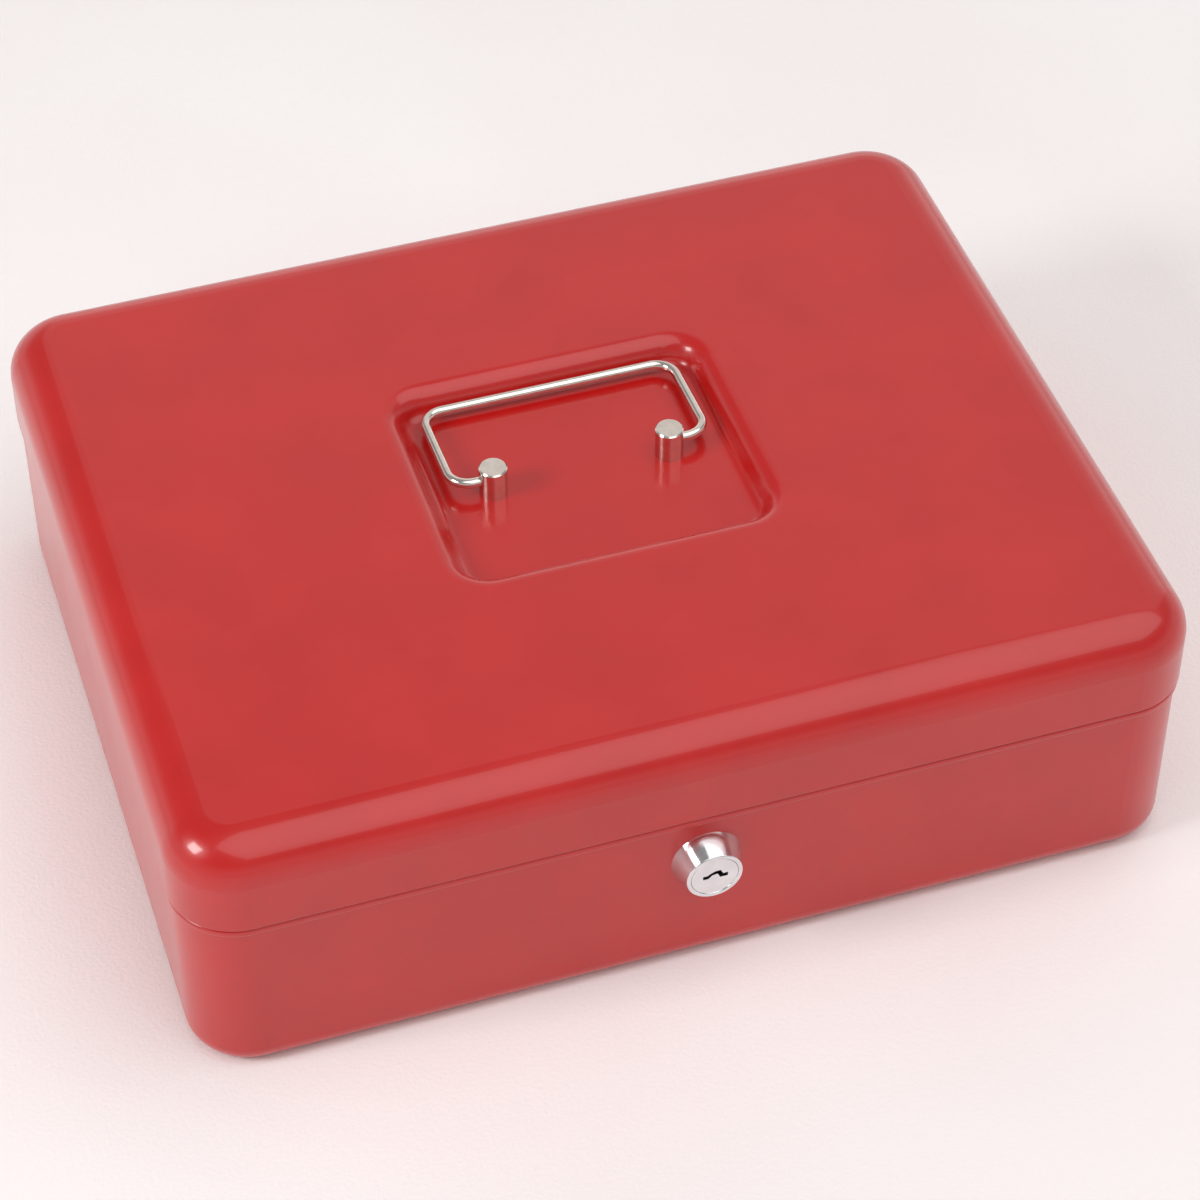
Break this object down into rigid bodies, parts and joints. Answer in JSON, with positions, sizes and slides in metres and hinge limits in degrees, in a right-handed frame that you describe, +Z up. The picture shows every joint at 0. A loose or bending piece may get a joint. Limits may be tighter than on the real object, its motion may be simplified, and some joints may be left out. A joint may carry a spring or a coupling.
{
  "type": "cash box with tray",
  "caption": "Lockable box of rounded red sheet steel with a hinged lid, a divided lift-out tray inside, a key lock in front and a wire handle folding into a well in the lid.",
  "frame": {"origin": "centre of the underside, on the surface the box stands on", "axes": "+X along the long side, to the right as seen from the lock; +Y from the lock towards the hinges; +Z up"},
  "size_m": [0.3, 0.2514, 0.0925],
  "materials": {
    "red_enamel": "high gloss red stoving enamel on sheet steel",
    "bright_nickel": "bright nickel plate",
    "lock_chrome": "polished chrome plate on a die-cast lock",
    "zinc_plate": "satin clear zinc plate",
    "brass": "stamped brass",
    "tray_plastic": "black moulded polystyrene, fine satin grain"
  },
  "bodies": {
    "base": {"base_shell": "red_enamel", "lock_housing": "lock_chrome", "lock_nut": "zinc_plate", "hinge_base_leaf_left": "zinc_plate", "hinge_base_leaf_right": "zinc_plate", "hinge_pin_left": "zinc_plate", "hinge_pin_right": "zinc_plate", "base_hinge_rivets": "zinc_plate", "tray_ledge_left": "red_enamel", "tray_ledge_right": "red_enamel"},
    "lid": {"lid_shell": "red_enamel", "hinge_lid_leaf_left": "zinc_plate", "hinge_lid_leaf_right": "zinc_plate", "lid_hinge_rivets": "zinc_plate", "catch_plate": "zinc_plate", "catch_pin": "zinc_plate", "handle_post_left": "bright_nickel", "handle_post_right": "bright_nickel", "handle_washers": "zinc_plate", "handle_nut_left": "zinc_plate", "handle_nut_right": "zinc_plate"},
    "bail": {"handle_bail": "bright_nickel"},
    "lock_barrel": {"lock_plug": "lock_chrome", "lock_wafers": "brass", "lock_cam": "zinc_plate", "cam_washer": "zinc_plate", "cam_screw": "zinc_plate"},
    "tray": {"coin_tray": "tray_plastic"}
  },
  "joints": [
    {"name": "lid_hinge", "type": "hinge", "parent": "base", "child": "lid", "pos_m": [0, 0.1227, 0.06015], "axis": [-1, 0, 0], "range_deg": [0, 105]},
    {"name": "handle_fold", "type": "hinge", "parent": "lid", "child": "bail", "pos_m": [0.0022, 0.0025, 0.0878], "axis": [1, 0, 0], "range_deg": [0, 186]},
    {"name": "lock_turn", "type": "hinge", "parent": "base", "child": "lock_barrel", "pos_m": [0, -0.119, 0.0426], "axis": [0, 1, 0], "range_deg": [0, 90]},
    {"name": "tray_lift", "type": "slide", "parent": "base", "child": "tray", "axis": [0, 0, 1], "range_m": [0, 0.008]}
  ]
}
